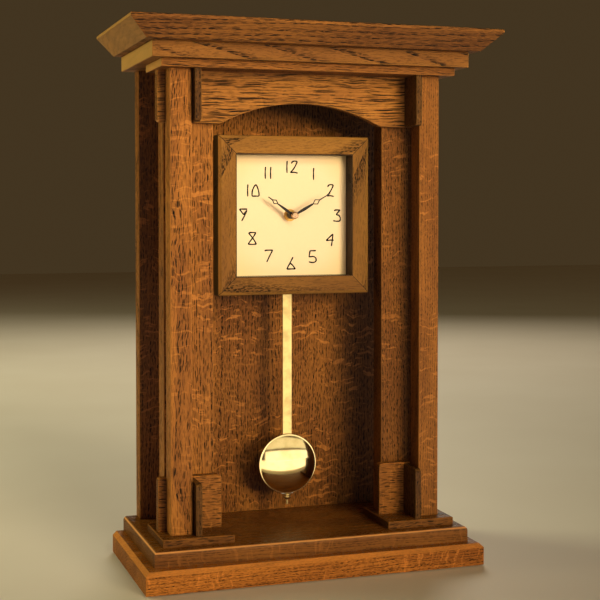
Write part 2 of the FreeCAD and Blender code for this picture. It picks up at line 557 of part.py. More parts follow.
# ---- Pendulum -----------------------------------------------------------------------------------------
def pendulum_hanger():
    """Moulded arm on the pivot pin; its hook at the bottom carries the rod."""
    y0, y1, half, low = 27.6, ROD_FRONT, 3.5, 284.0
    arm = box(-half, half, y0, y1, low, PIVOT_Z)
    head = rod_y(0, PIVOT_Z, half, y0, y1)
    hook = box(-1.6, 1.6, y1, y1 + ROD_THICK + 1.4, 289.0, 291.4)
    lip = box(-1.6, 1.6, y1 + ROD_THICK + 0.3, y1 + ROD_THICK + 1.4, 291.4, 293.4)
    arm = arm.fuse([head, hook, lip]).removeSplitter()
    return arm.cut(rod_y(0, PIVOT_Z, 1.5 + RUNNING, y0 - 1, y1 + 1))


def hanger_magnet():
    return rod_y(0, 318.0, 3.0, ROD_FRONT, ROD_FRONT + 2.0)


def pendulum_rod():
    """Flat strip with a hook window at the top; a threaded stud is brazed to its back at the bottom."""
    y0, y1 = ROD_FRONT, ROD_FRONT + ROD_THICK
    strip = box(-ROD_HALF, ROD_HALF, y0, y1, ROD_LOW, ROD_TOP)
    strip = strip.makeChamfer(1.5, [e for e in edges(strip, lambda x, y, z: same(z, ROD_TOP))
                                    if same(e.Vertexes[0].X, e.Vertexes[1].X)])
    strip = strip.cut(box(-1.8, 1.8, y0 - 1, y1 + 1, 288.8, 294.0))
    stud = Part.makeCylinder(STUD_R, ROD_LOW + 14 - STUD_LOW, V(0, STUD_Y, STUD_LOW), Z_AXIS)
    return strip.fuse(stud).removeSplitter()


def bob_shell():
    """Spun brass dome in front of the rod, with a narrow rolled rim."""
    skin, rim, rim_thick, rear = 0.9, 1.3, 1.6, ROD_FRONT - 0.35
    inner_r = BOB_R - rim
    sphere_r = (inner_r ** 2 + BOB_DOME ** 2) / (2 * BOB_DOME)
    centre = V(0, rear - rim_thick - BOB_DOME + sphere_r, BOB_Z)
    keep = rod_y(0, BOB_Z, inner_r, rear - rim_thick - BOB_DOME - 1, rear - rim_thick)
    outer = Part.makeSphere(sphere_r, centre).common(keep)
    cavity = Part.makeSphere(sphere_r - skin, centre).common(
        rod_y(0, BOB_Z, inner_r - 1.0, rear - rim_thick - BOB_DOME - 1, rear - rim_thick))
    band = tube_y(0, BOB_Z, BOB_R, inner_r - 1.0, rear - rim_thick, rear)
    rims = [e for e in band.Edges if e.Length > 6.2 * (BOB_R - 0.1)]
    return outer.cut(cavity).fuse(band.makeFillet(0.6, rims)).removeSplitter()


def bob_back():
    """Back plate that slides on the rod between guide lips; its shelf rests on the rating nut."""
    y1, guide_y = ROD_FRONT - 0.35, ROD_FRONT + ROD_THICK + 0.35
    side, lip, shelf_rear = ROD_HALF + 0.35, 1.0, 33.4
    plate = rod_y(0, BOB_Z, BOB_R - 2.35, y1 - 1.2, y1)
    for sx in (-1, 1):
        x0, x1 = min(sx * side, sx * (side + lip)), max(sx * side, sx * (side + lip))
        for z in (BOB_Z - 18, BOB_Z + 12):
            wall = box(x0, x1, y1 - 0.6, guide_y + lip, z, z + 6)
            flange = box(min(sx * 1.9, sx * side), max(sx * 1.9, sx * side), guide_y, guide_y + lip, z, z + 6)
            plate = plate.fuse([wall, flange])
        plate = plate.fuse([box(x0, x1, y1 - 0.6, shelf_rear, SHELF_LOW + 4, SHELF_LOW + 9),
                            box(x0, x1, y1, shelf_rear, SHELF_LOW, SHELF_LOW + 4)])
    shelf = box(-side - lip, side + lip, y1, shelf_rear, SHELF_LOW, SHELF_LOW + 1.0)
    plate = plate.fuse(shelf).removeSplitter()
    slot_r, slot_low, slot_top = STUD_R + 0.4, SHELF_LOW - 1, SHELF_LOW + 2
    slot_end = Part.makeCylinder(slot_r, slot_top - slot_low, V(0, STUD_Y, slot_low), Z_AXIS)
    slot_mouth = box(-slot_r, slot_r, y1 - 1, STUD_Y, slot_low, slot_top)
    return plate.cut(slot_end.fuse(slot_mouth).removeSplitter())


def rating_nut():
    """Knurled nut under the bob's shelf."""
    nut_r, high, low, teeth = 3.9, SHELF_LOW - 0.35, SHELF_LOW - 6.35, 24
    points = []
    for i in range(2 * teeth):
        angle, r = math.pi * i / teeth, (nut_r if i % 2 else nut_r - 0.3)
        points.append(V(r * math.cos(angle), STUD_Y + r * math.sin(angle), low))
    nut = Part.Face(Part.makePolygon(points + points[:1])).extrude(V(0, 0, high - low))
    return nut.cut(Part.makeCylinder(STUD_R + RUNNING, 9, V(0, STUD_Y, low - 1), Z_AXIS))


# ---- Write every piece --------------------------------------------------------------------------------
save("felt_pads", felt_pads())
save("base_slab", base_slab())
save("plinth_slab", plinth_slab())
save_pair("pad", pad())
save_pair("column", column())
save_pair("stile", stile())
save_pair("plinth_plate", plinth_plate())
save_pair("corbel_bottom", corbel(PAD_TOP, CORBEL_TOP, CORBEL_TOP))
save_pair("corbel_top", corbel(APRON_BOTTOM, FILLET_BOTTOM, APRON_BOTTOM))
save("apron", apron())
save("fillet_board", fillet_board())
save("cap_board", cap_board())
save("crown_slab", crown_slab())

save("back_board", back_board())
save("rear_door", rear_door())
fixed_leaves, door_leaves, hinge_pins = hinges()
save("hinge_leaves_fixed", fixed_leaves)
save("hinge_leaves_door", door_leaves)
save("hinge_pins", hinge_pins)
save("turn_button", turn_button())
save("turn_button_screw", button_screw())

for index, place in enumerate(("top", "right", "bottom", "left")):
    save("dial_frame_" + place, drilled_for_screws(frame_rail(index)))
save("dial_sheet", dial_sheet())
save("dial_board", dial_board())
save("dial_screws", dial_screws())
box_side, box_roof, box_floor = box_walls()
save_pair("box_side", box_side)
save("box_roof", box_roof)
save("box_floor", box_floor)

save("hour_hand", hour_hand())
save("minute_hand", minute_hand())
save("hand_cap_nut", hand_cap_nut())
save("movement_front_case", front_case())
save("movement_rear_case", rear_case())
save("mounting_nut", mounting_nut())
save("mounting_washer", tube_y(0, ARBOR_Z, 6.4, BUSH_R, 20.6, DIAL_Y))
save("minute_arbor", minute_arbor())
save("hour_wheel", hour_wheel())
save("minute_wheel", minute_wheel())
save("setting_knob", setting_knob())
save("third_wheel", third_wheel())
save("stepper_motor", stepper_motor())
save("circuit_board", circuit_board())
save("drive_coil", drive_coil())
save("battery", battery())
save("battery_contacts", battery_contacts())

save("pendulum_hanger", pendulum_hanger())
save("hanger_magnet", hanger_magnet())
save("pendulum_rod", pendulum_rod())
save("bob_shell", bob_shell())
save("bob_back", bob_back())
save("rating_nut", rating_nut())
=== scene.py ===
import math

import bpy
import numpy as np
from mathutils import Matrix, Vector


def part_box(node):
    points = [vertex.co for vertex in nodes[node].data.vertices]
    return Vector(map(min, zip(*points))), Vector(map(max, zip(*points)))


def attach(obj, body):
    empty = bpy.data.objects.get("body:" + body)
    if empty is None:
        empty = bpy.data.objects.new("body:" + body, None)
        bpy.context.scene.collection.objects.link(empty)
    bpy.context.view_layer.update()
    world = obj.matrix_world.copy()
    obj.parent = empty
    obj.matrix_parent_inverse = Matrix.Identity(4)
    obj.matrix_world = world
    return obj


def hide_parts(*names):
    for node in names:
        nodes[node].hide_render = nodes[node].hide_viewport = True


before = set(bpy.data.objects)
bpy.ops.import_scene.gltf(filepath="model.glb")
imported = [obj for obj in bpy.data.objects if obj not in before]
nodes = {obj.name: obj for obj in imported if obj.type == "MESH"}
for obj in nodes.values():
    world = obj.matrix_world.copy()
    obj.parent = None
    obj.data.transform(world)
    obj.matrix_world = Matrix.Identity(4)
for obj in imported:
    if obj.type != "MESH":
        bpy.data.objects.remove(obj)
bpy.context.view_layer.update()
MM = 0.001

# ---- Table top, lamps and camera ----------------------------------------------------------------------
# The clock stands on a plain pale table. A warm key lamp and a small top lamp shine from the front, a left
# screen and a rear lamp fill the shadows, and three wide screens are seen only as reflections in the brass
# and the lacquer. The camera is left of the middle, level with the dial.


def linear(red, green, blue):
    """A colour given as a 0 to 255 swatch, turned into the linear colour with alpha that a shader takes."""
    share = np.array([red, green, blue]) / 255
    curved = np.where(share <= 0.04045, share / 12.92, ((share + 0.055) / 1.055) ** 2.4)
    return (*curved.tolist(), 1.0)


class Finish:
    """A surface finish being mixed: each call adds one shader node and returns its first output."""

    def __init__(self, name, **constants):
        self.material = bpy.data.materials.new(name)
        self.material.use_nodes = True
        self.tree = self.material.node_tree
        self.shader = self.tree.nodes["Principled BSDF"]
        for socket, value in constants.items():
            self.shader.inputs[socket.replace("_", " ")].default_value = value

    def set(self, socket, value):
        """Puts a number, a colour or another node's output into one socket."""
        if isinstance(value, bpy.types.NodeSocket):
            self.tree.links.new(value, socket)
        else:
            socket.default_value = value

    def add(self, kind, sockets=None, **settings):
        """One shader node of a kind, with its settings and the values or links of its sockets."""
        made = self.tree.nodes.new("ShaderNode" + kind)
        for key, value in settings.items():
            setattr(made, key, value)
        for key, value in (sockets or {}).items():
            self.set(made.inputs[key], value)
        return made.outputs[0]

    def math(self, operation, *terms):
        """One sum on numbers or outputs; MULTIPLY_ADD is the first times the second plus the third."""
        made = self.tree.nodes.new("ShaderNodeMath")
        made.operation = operation
        for socket, term in zip(made.inputs, terms):
            self.set(socket, term)
        return made.outputs[0]

    def place(self, turn=(0, 0, 0), shift=(0, 0, 0)):
        """The piece's own coordinates in millimetres, turned and then shifted."""
        own = self.tree.nodes.new("ShaderNodeTexCoord").outputs["Object"]
        return self.add("Mapping", {"Vector": own, "Scale": (1 / MM,) * 3, "Rotation": turn,
                                    "Location": shift})

    def stretch(self, place, factors):
        """The place multiplied by a factor along each direction."""
        return self.add("VectorMath", {0: place, 1: factors}, operation="MULTIPLY")

    def noise(self, place, factors, detail=2.0):
        """Soft noise from 0 to 1; factors are cycles per millimetre along the three directions."""
        return self.add("TexNoise", {"Vector": self.stretch(place, factors), "Scale": 1.0, "Detail": detail,
                                     "Roughness": 0.5, "Distortion": 0.0})

    def step(self, value, low, high, start=0.0, end=1.0):
        """Rises smoothly from start at low to end at high."""
        return self.add("MapRange", {"Value": value, 1: low, 2: high, 3: start, 4: end},
                        interpolation_type="SMOOTHSTEP")

    def blend(self, share, first, second):
        """The first colour where the share is 0 and the second where it is 1."""
        return self.add("MixRGB", {"Fac": share, "Color1": first, "Color2": second}, blend_type="MIX")

    def bump(self, height, depth_mm, strength=1.0):
        """Relief: a height of 1 stands depth_mm above a height of 0."""
        self.set(self.shader.inputs["Normal"],
                 self.add("Bump", {"Height": height, "Distance": depth_mm * MM, "Strength": strength}))

    def colour(self, value):
        self.set(self.shader.inputs["Base Color"], value)

    def roughness(self, value):
        self.set(self.shader.inputs["Roughness"], value)


def lay_floor(half=6.0):
    """A flat square table top with its middle under the clock."""
    mesh = bpy.data.meshes.new("floor")
    corners = [(-half, -half, 0), (half, -half, 0), (half, half, 0), (-half, half, 0)]
    mesh.from_pydata(corners, [], [(0, 1, 2, 3)])
    top = bpy.data.objects.new("floor", mesh)
    bpy.context.scene.collection.objects.link(top)
    pale = Finish("pale_table", Roughness=0.6)
    cloud = pale.noise(pale.place(), (0.004, 0.004, 0.004))
    pale.colour(pale.blend(cloud, linear(226, 214, 196), linear(236, 226, 210)))
    mesh.materials.append(pale.material)


def hang_lamp(name, place, aim, width, height, watts, tint, spread=180.0, lights=True, shows=True):
    """A rectangular soft light at a place, facing a point; a small spread in degrees makes a beam. One
    that only lights is not mirrored in brass or lacquer, and one that only shows adds no other light."""
    lamp = bpy.data.lights.new(name, "AREA")
    lamp.shape, lamp.size, lamp.size_y = "RECTANGLE", width, height
    lamp.energy, lamp.color, lamp.spread = watts, tint, math.radians(spread)
    holder = bpy.data.objects.new(name, lamp)
    holder.visible_camera, holder.visible_diffuse, holder.visible_glossy = False, lights, shows
    holder.location = place
    holder.rotation_euler = (Vector(aim) - Vector(place)).to_track_quat("-Z", "Y").to_euler()
    bpy.context.scene.collection.objects.link(holder)


def set_camera():
    """The camera is 1.3 m in front, turned 18.5 degrees to the right and looking 1.7 degrees down. Its lens
    is shifted a little, as on a view camera."""
    lens = bpy.data.cameras.new("camera")
    lens.sensor_width, lens.lens, lens.shift_y = 36.0, 78.28, -0.0911
    lens.clip_start, lens.clip_end = 0.05, 100.0
    holder = bpy.data.objects.new("camera", lens)
    yaw, pitch = math.radians(18.5), math.radians(1.68)
    forward = Vector((math.sin(yaw) * math.cos(pitch), math.cos(yaw) * math.cos(pitch), -math.sin(pitch)))
    holder.location = (-0.4238, -1.2793, 0.3671)
    holder.rotation_euler = forward.to_track_quat("-Z", "Y").to_euler()
    bpy.context.scene.collection.objects.link(holder)
    bpy.context.scene.camera = holder


lay_floor()
middle = (0, 0, 0.28)
hang_lamp("key_lamp", (0.76, -2.45, 0.72), (-0.10, 0, 0.56), 0.8, 0.8, 5.4, (1.0, 0.86, 0.54), 44,
          shows=False)
hang_lamp("top_lamp", (0.10, -1.7, 1.25), (-0.16, -0.05, 0.52), 0.4, 0.4, 0.7, (1.0, 0.92, 0.64), 36,
          shows=False)
hang_lamp("front_screen", (1.9, -2.3, 0.44), (1.9, 0, 0.44), 6.8, 0.88, 30, (1.0, 0.92, 0.72),
          lights=False)
hang_lamp("upper_screen", (1.9, -2.3, 1.72), (1.9, 0, 1.72), 6.8, 1.3, 26, (1.0, 0.88, 0.62),
          lights=False)
hang_lamp("table_glow", (1.0, -1.2, 0.02), (1.0, -1.2, 1), 6.4, 2.1, 58, (1.0, 0.92, 0.72), lights=False)
hang_lamp("left_screen", (-2.2, 1.6, 0.75), middle, 1.3, 1.3, 62, (0.97, 0.98, 0.62), shows=False)
hang_lamp("rear_lamp", (0.9, 2.2, 1.5), middle, 1.0, 1.0, 18, (1.0, 0.90, 0.72))
set_camera()
world = bpy.data.worlds.new("room")
bpy.context.scene.world = world
world.use_nodes = True
room_air = world.node_tree.nodes["Background"]
room_air.inputs["Color"].default_value = linear(196, 160, 108)
room_air.inputs["Strength"].default_value = 0.10
bpy.context.scene.view_settings.view_transform = "Standard"

# ---- Base slab and its felt pads ----------------------------------------------------------------------
# A solid slab of stained quartersawn oak, bevelled along its top at the front and both ends. Rings show
# as arcs on the sawn ends. Four felt discs glued underneath keep it off the table.

OAK_LIGHT, OAK_MID, OAK_DEEP = (166, 104, 42), (134, 80, 32), (86, 46, 18)
OAK_PORE, OAK_FLECK = (13, 6, 3), (200, 126, 56)


def dress(finish, *names):
    """Gives CAD nodes this finish."""
    for name in names:
        for place in nodes[name].material_slots:
            place.material = finish.material


def oak(name, grain, face, seed, pith=160.0, ring=2.7, early_to=0.62, taper=0.0, slope=1.2, fleck=0.5,
        pore=6.0, lines=0.62, open_to=0.35, spread=0.5, depth=1.0, tone=1.0, olive=0.0, lacquer=0.0,
        wear_and_highlight=0.45, wear_and_highlight_tint=(196, 128, 60), quiet_ends=0.0, mitred=None):
    """Stained oak as one solid pattern, so that the figure runs through every face of the board.

    grain is the axis the tree grew along, and face the axis its quartered faces look along, where the
    ray flecks show. Rings are cylinders about a pith line that lies pith millimetres off the board:
    straight stripes on the quartered face, arcs on the ends. Pores are long thin cells, thick in the
    early wood of each ring. Rays are sheets that run out from the pith: pale flecks on the quartered
    face, fine dark dashes on the others.

    A ring is about ring millimetres wide, and its early wood fades out at the share early_to. taper
    widens the rings along the grain, and slope is the grain's lean in degrees. Pores lie in cells
    pore / 0.6 millimetres long and 1 / lines across: open_to is how full a cell is, spread how much the
    pores keep to early wood, depth how dark they are, and fleck how pale the rays are. tone and olive
    set the stain, and lacquer a clear coat. wear_and_highlight and wear_and_highlight_tint lighten the
    chamfers and round-overs: partly wear, partly a painted highlight where the lamp would catch them.
    quiet_ends clears pores from the sawn ends. mitred is a frame's middle height, the half width that
    its inner painted shade reaches and its half outer width, in millimetres: its seams are stained dark,
    and painted shade darkens it along the opening and round its outer sides."""
    wood = Finish(name, Specular_IOR_Level=0.14, Coat_Weight=lacquer, Coat_Roughness=0.2)
    grow = ({"x", "y", "z"} - {grain, face}).pop()
    parts = wood.add("SeparateXYZ", {"Vector": wood.place()}).node.outputs
    own_normal = wood.tree.nodes.new("ShaderNodeTexCoord").outputs["Normal"]
    normal = wood.add("SeparateXYZ", {"Vector": own_normal})
    axis = {"x": 0, "y": 1, "z": 2}
    board = wood.add("CombineXYZ", {0: parts[axis[grain]], 1: parts[axis[grow]], 2: parts[axis[face]]})
    lean = math.radians(slope * (1 if seed % 2 < 1 else -1))
    board = wood.add("Mapping", {"Vector": board, "Rotation": (0.06 * math.cos(seed), 0.02, lean),
                                 "Location": (137.0 * seed, 0.0, 23.0 * math.sin(2.3 * seed))})
    along = wood.add("SeparateXYZ", {"Vector": board})
    wave = wood.noise(board, (0.004, 0.018, 0.018))
    drift = wood.math("MULTIPLY_ADD", wave, 16.0, -8.0)
    reach = wood.add("VectorMath", {0: board, 1: (0.0, pith, 0.0)}, operation="ADD")
    spoke = wood.add("VectorMath", {0: wood.stretch(reach, (0.0, 1.0, 1.0))}, operation="LENGTH")
    spoke = spoke.node.outputs["Value"]
    radius = wood.math("MULTIPLY_ADD", along, taper, wood.math("ADD", spoke, drift))
    pace = wood.add("TexNoise", {"W": wood.math("MULTIPLY", radius, 0.11), "Scale": 1.0, "Detail": 1.0},
                    noise_dimensions="1D")
    turns = wood.math("MULTIPLY_ADD", pace, 6.5 / ring, wood.math("DIVIDE", radius, ring))
    phase = wood.math("FRACT", turns)
    early = wood.step(phase, 0.05, early_to, 1.0, 0.0)
    # Pores: long cells on a wandering line, and between them finer hairlines.
    wobble = wood.math("MULTIPLY_ADD", wood.noise(board, (0.028, 0.02, 0.02), detail=1.0), 6.0, drift)
    bent = wood.add("VectorMath", {0: board, 1: wood.add("CombineXYZ", {1: wobble})}, operation="ADD")
    cells = wood.add("TexVoronoi", {"Vector": wood.stretch(bent, (0.6 / pore, lines, lines)), "Scale": 1.0})
    dash = wood.step(cells, open_to - 0.04, open_to + 0.05, 1.0, 0.0)
    fine = wood.noise(bent, (0.11, 1.5, 1.5), detail=1.0)
    fine = wood.step(fine, 0.54, 0.61)
    dash = wood.math("MULTIPLY", dash, wood.math("MULTIPLY_ADD", early, spread, 1.0 - spread))
    hairlines = wood.math("MULTIPLY", fine, wood.math("MULTIPLY_ADD", early, 0.35, 0.4))
    pores = wood.math("MAXIMUM", dash, hairlines)
    # Rays: thin sheets, swayed along the grain and gathered in patches.
    sway = wood.noise(board, (0.012, 0.045, 0.2))
    swayed = wood.add("VectorMath", {0: board, 1: wood.add("CombineXYZ", {0: wood.math(
        "MULTIPLY", sway, 22.0)})}, operation="ADD")
    sheets = wood.noise(swayed, (0.27, 0.014, 1.2))
    rays = wood.step(sheets, 0.56, 0.66)
    patch = wood.noise(board, (0.014, 0.011, 0.02), detail=1.0)
    rays = wood.math("MULTIPLY", rays, wood.step(patch, 0.36, 0.56, 0.15, 1.0))
    quartered = wood.math("ABSOLUTE", normal.node.outputs[axis[face]])
    quartered = wood.step(quartered, 0.5, 0.85)
    sawn = wood.step(wood.math("ABSOLUTE", normal.node.outputs[axis[grain]]), 0.55, 0.9)
    pores = wood.math("MULTIPLY", pores, wood.math("MULTIPLY_ADD", sawn, -quiet_ends, 1.0))
    # Stain: cloudy brown, then early wood, rays, pores, sawn ends, edges lightened by wear and a painted
    # highlight, and the frame's dark seams and its painted shade.
    cloud = wood.noise(board, (0.006, 0.035, 0.035), detail=3.0)
    cloud = wood.step(cloud, 0.3, 0.72)
    stain = wood.blend(cloud, linear(*OAK_MID), linear(*OAK_LIGHT))
    stain = wood.blend(wood.math("MULTIPLY", early, 0.38), stain, linear(*OAK_DEEP))
    show = wood.math("MULTIPLY", wood.math("MULTIPLY", rays, quartered), fleck)
    stain = wood.blend(show, stain, linear(*OAK_FLECK))
    ends_of_rays = wood.math("MULTIPLY", rays, wood.math("MULTIPLY_ADD", quartered, -0.42, 0.42))
    stain = wood.blend(ends_of_rays, stain, linear(*OAK_DEEP))
    open_pores = wood.math("MULTIPLY", pores, wood.math("MULTIPLY_ADD", show, -0.6, depth))
    stain = wood.blend(open_pores, stain, linear(*OAK_PORE))
    stain = wood.blend(wood.math("MULTIPLY", sawn, 0.45 * (1 - quiet_ends)), stain, linear(62, 32, 13))
    stain = wood.blend(wood.math("MULTIPLY", sawn, quiet_ends), stain, linear(204, 150, 80))
    sides = [wood.math("ABSOLUTE", normal.node.outputs[n]) for n in range(3)]
    flat = wood.math("MAXIMUM", sides[0], wood.math("MAXIMUM", sides[1], sides[2]))
    # Chamfers and round-overs are lightened: partly wear, partly a painted highlight where they would catch
    # the lamp.
    edge = wood.math("MULTIPLY", wood.step(flat, 0.75, 0.93, 1.0, 0.0), wear_and_highlight)
    stain = wood.blend(edge, stain, linear(*wear_and_highlight_tint))
    if mitred is not None:
        middle_z, inside, outside = mitred
        out_x = wood.math("ABSOLUTE", parts[0])
        out_z = wood.math("ABSOLUTE", wood.math("SUBTRACT", parts[2], middle_z))
        seam = wood.math("ABSOLUTE", wood.math("SUBTRACT", out_x, out_z))
        out = wood.math("MAXIMUM", out_x, out_z)
        # Painted shade: the rails' inner sides at the opening and their outer sides are darkened where
        # shade falls.
        frame_painted_shade = wood.math("MAXIMUM", wood.step(out, inside, inside + 0.8, 0.8, 0.0),
                          wood.step(out, outside - 0.6, outside - 0.2, 0.0, 0.85))
        stain = wood.blend(wood.math("MAXIMUM", wood.step(seam, 0.2, 0.7, 0.8, 0.0), frame_painted_shade), stain,
                           linear(30, 16, 8))
    shade = (tone * (1 - 0.1 * olive), tone * (1 + 0.08 * olive), tone * (1 + 0.15 * olive))
    stain = wood.add("VectorMath", {0: stain, 1: shade}, operation="MULTIPLY")
    wood.colour(stain)
    gloss = wood.math("MULTIPLY_ADD", pores, 0.2, 0.54)
    gloss = wood.math("MULTIPLY_ADD", wood.step(normal.node.outputs[2], 0.9, 0.99), -0.30, gloss)
    wood.roughness(wood.math("MULTIPLY_ADD", show, -0.12, gloss))
    fibre = wood.noise(board, (0.05, 3.0, 3.0), detail=1.0)
    wood.bump(wood.math("MULTIPLY_ADD", pores, -1.0, wood.math("MULTIPLY", fibre, 0.3)), 0.2, 0.8)
    return wood


dress(oak("oak_base", "x", "y", 1.0, pith=70.0, fleck=0.45, pore=2.4, lines=1.0, open_to=0.37, depth=0.9,
          tone=1.45, olive=-0.35), "base_slab")

felt = Finish("felt", Roughness=1.0, Sheen_Weight=0.4)
fluff = felt.noise(felt.place(), (1.8, 1.8, 1.8), detail=4.0)
felt.colour(felt.blend(fluff, linear(34, 26, 20), linear(66, 52, 40)))
felt.bump(fluff, 0.4)
dress(felt, "felt_pads")

# ---- Plinth slab --------------------------------------------------------------------------------------
# A second, smaller slab glued on the base, its top edge rounded over at the front and both ends.

# The plinth's round-over gets the full lightened edge in a bright tint: a painted highlight line along its
# top.
dress(oak("oak_plinth", "x", "y", 2.0, pith=95.0, fleck=0.35, tone=0.74, wear_and_highlight=1.0,
          wear_and_highlight_tint=(255, 176, 104), open_to=0.33, depth=0.5, pore=4.0, lacquer=0.12), "plinth_slab")

# ---- Pads and plinth plates ---------------------------------------------------------------------------
# Two low blocks carry the columns. A plate behind each column hides the joint between column and stile.

dress(oak("oak_pad_left", "x", "y", 3.0, fleck=0.3, tone=0.62), "pad_left")
dress(oak("oak_pad_right", "x", "y", 3.6, fleck=0.3, tone=0.62), "pad_right")
dress(oak("oak_plate_left", "x", "y", 4.0, fleck=0.25), "plinth_plate_left")
dress(oak("oak_plate_right", "x", "y", 4.7, fleck=0.25), "plinth_plate_right")

# ---- Columns and stiles -------------------------------------------------------------------------------
# Square front posts and the wider uprights behind them, all with the grain upright. They are cut from
# quartered stock, so that flecks cross the faces here and there.

dress(oak("oak_column_left", "z", "y", 5.0, fleck=0.35, pore=8.0, open_to=0.31, lines=0.58, tone=1.12),
      "column_left")
dress(oak("oak_column_right", "z", "y", 5.8, fleck=0.6, pore=2.5, tone=0.9, lines=1.0, depth=0.7),
      "column_right")
dress(oak("oak_stile_left", "z", "y", 6.0, fleck=0.6, tone=0.95), "stile_left")
dress(oak("oak_stile_right", "z", "y", 6.9, fleck=0.6, tone=0.7, pore=3.0, lines=0.85), "stile_right")

# ---- Corbels ------------------------------------------------------------------------------------------
# Thin blades glued beside each column, at its foot and at its head, each with one rounded corner.

# The corbels take a much darker stain (tone 0.36) than the rest of the oak: painted shade, for the shade
# they stand in beside the columns.
for number, corbel in enumerate(("corbel_bottom_left", "corbel_bottom_right", "corbel_top_left",
                                 "corbel_top_right")):
    dress(oak("oak_" + corbel, "z", "y", 7.0 + 0.6 * number, fleck=0.4, tone=0.36, olive=0.5, pore=3.0),
          corbel)

# ---- Apron --------------------------------------------------------------------------------------------
# The arched rail across the head of the niche, its edges rounded over by a router.

dress(oak("oak_apron", "x", "y", 9.0, fleck=0.1, ring=4.2, pore=22.0, spread=0.25, open_to=0.38,
          lines=0.58, tone=1.3, olive=0.5), "apron")

# ---- Fillet, cap board and crown ----------------------------------------------------------------------
# Three boards stacked as the cornice: a thin fillet, a cap board and a crown slab that leans out to a lip.

dress(oak("oak_fillet", "x", "y", 10.0, fleck=0.1, pore=9.0, tone=0.9, lines=0.9, quiet_ends=0.6),
      "fillet_board")
dress(oak("oak_cap", "x", "z", 11.0, pith=52.0, fleck=0.1, ring=18.0, tone=0.80, slope=1.0, taper=0.30,
          spread=0.92, open_to=0.43, lines=0.7, early_to=0.34, quiet_ends=0.7, olive=0.4), "cap_board")
dress(oak("oak_crown", "x", "z", 12.0, pith=60.0, ring=5.0, lines=0.75, tone=0.68, wear_and_highlight=0.0,
          quiet_ends=0.85, spread=0.6, open_to=0.42), "crown_slab")

# ---- Back board and its hatch -------------------------------------------------------------------------
# One wide quartered board with upright grain and strong ray flecks. A door cut from the same board
# hangs on two brass butt hinges and is held shut by a brass turn button.

back = oak("oak_back", "z", "y", 13.0, pith=400.0, fleck=0.85, tone=0.8, pore=3.6, open_to=0.38, lines=0.68)
dress(back, "back_board", "rear_door")


def brass(name, rough=0.2, tone=(226, 170, 88)):
    """Yellow brass: faint cloudy tarnish over fine random polishing marks."""
    metal = Finish(name, Metallic=1.0)
    cloud = metal.noise(metal.place(), (0.12, 0.12, 0.12), detail=3.0)
    marks = metal.noise(metal.place(turn=(0.3, 0.5, 0.2)), (0.4, 6.0, 6.0))
    dull = tuple(0.86 * c for c in tone)
    metal.colour(metal.blend(metal.step(cloud, 0.35, 0.75), linear(*tone), linear(*dull)))
    spread = metal.math("MULTIPLY_ADD", marks, 0.12, rough)
    metal.roughness(metal.math("MULTIPLY_ADD", metal.step(cloud, 0.4, 0.8), 0.06, spread))
    metal.bump(marks, 0.01, 0.5)
    return metal


satin_brass = brass("brass_satin", rough=0.26)
dress(satin_brass, "hinge_leaves_fixed", "hinge_leaves_door", "hinge_pins", "turn_button",
      "turn_button_screw")

LEAF_THICK, LEAF_HALF_HEIGHT = 1.2, 13
SCREWS_IN_FIXED, SCREWS_IN_DOOR = 5.6, 4.2  # from each leaf's outer edge to its line of screws
LEAF_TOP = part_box("back_board")[1].y + LEAF_THICK * MM


def shell_volume(points, faces):
    """Signed volume of a closed surface: positive when its faces point outwards."""
    total = 0.0
    for sides in {len(f) for f in faces}:
        corner = points[np.array([f for f in faces if len(f) == sides])]
        for n in range(1, sides - 1):
            total += np.einsum("ij,ij->", corner[:, 0], np.cross(corner[:, n], corner[:, n + 1]))
    return total / 6


def make_piece(name, shells, finish, body, smooth_angle=40.0):
    """One piece from closed shells, each (points in metres, faces), joined. A shell whose volume comes out
    negative is inside out, so its faces are reversed."""
    all_points, all_faces, start = [], [], 0
    for points, faces in shells:
        points = np.asarray(points, float).reshape(-1, 3)
        if shell_volume(points, faces) < 0:
            faces = [list(f)[::-1] for f in faces]
        all_points.append(points)
        all_faces += [[start + n for n in f] for f in faces]
        start += len(points)
    mesh = bpy.data.meshes.new(name)
    mesh.from_pydata(np.concatenate(all_points).tolist(), [], all_faces)
    mesh.polygons.foreach_set("use_smooth", np.ones(len(mesh.polygons), bool))
    mesh.set_sharp_from_angle(angle=math.radians(smooth_angle))
    mesh.materials.append(finish.material)
    piece = bpy.data.objects.new(name, mesh)
    bpy.context.scene.collection.objects.link(piece)
    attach(piece, body)
    return piece


def turned(profile, centre, steps=72):
    """A closed profile of (radius, depth) points in millimetres spun about a line along Y through centre:
    across is the radius times the sine of the angle, and up the radius times its cosine."""
    angle = np.linspace(0, 2 * np.pi, steps, endpoint=False)
    r, depth = np.array(profile, float).T * MM
    x = centre[0] + r[None, :] * np.sin(angle)[:, None]
    z = centre[2] + r[None, :] * np.cos(angle)[:, None]
    y = np.broadcast_to(centre[1] + depth[None, :], x.shape)
    rings, cols = x.shape
    i, j = np.meshgrid(np.arange(rings), np.arange(cols), indexing="ij")
    i2, j2 = (i + 1) % rings, (j + 1) % cols
    quads = np.stack([i * cols + j, i * cols + j2, i2 * cols + j2, i2 * cols + j], -1).reshape(-1, 4)
    return np.stack([x, y, z], -1).reshape(-1, 3), quads.tolist()


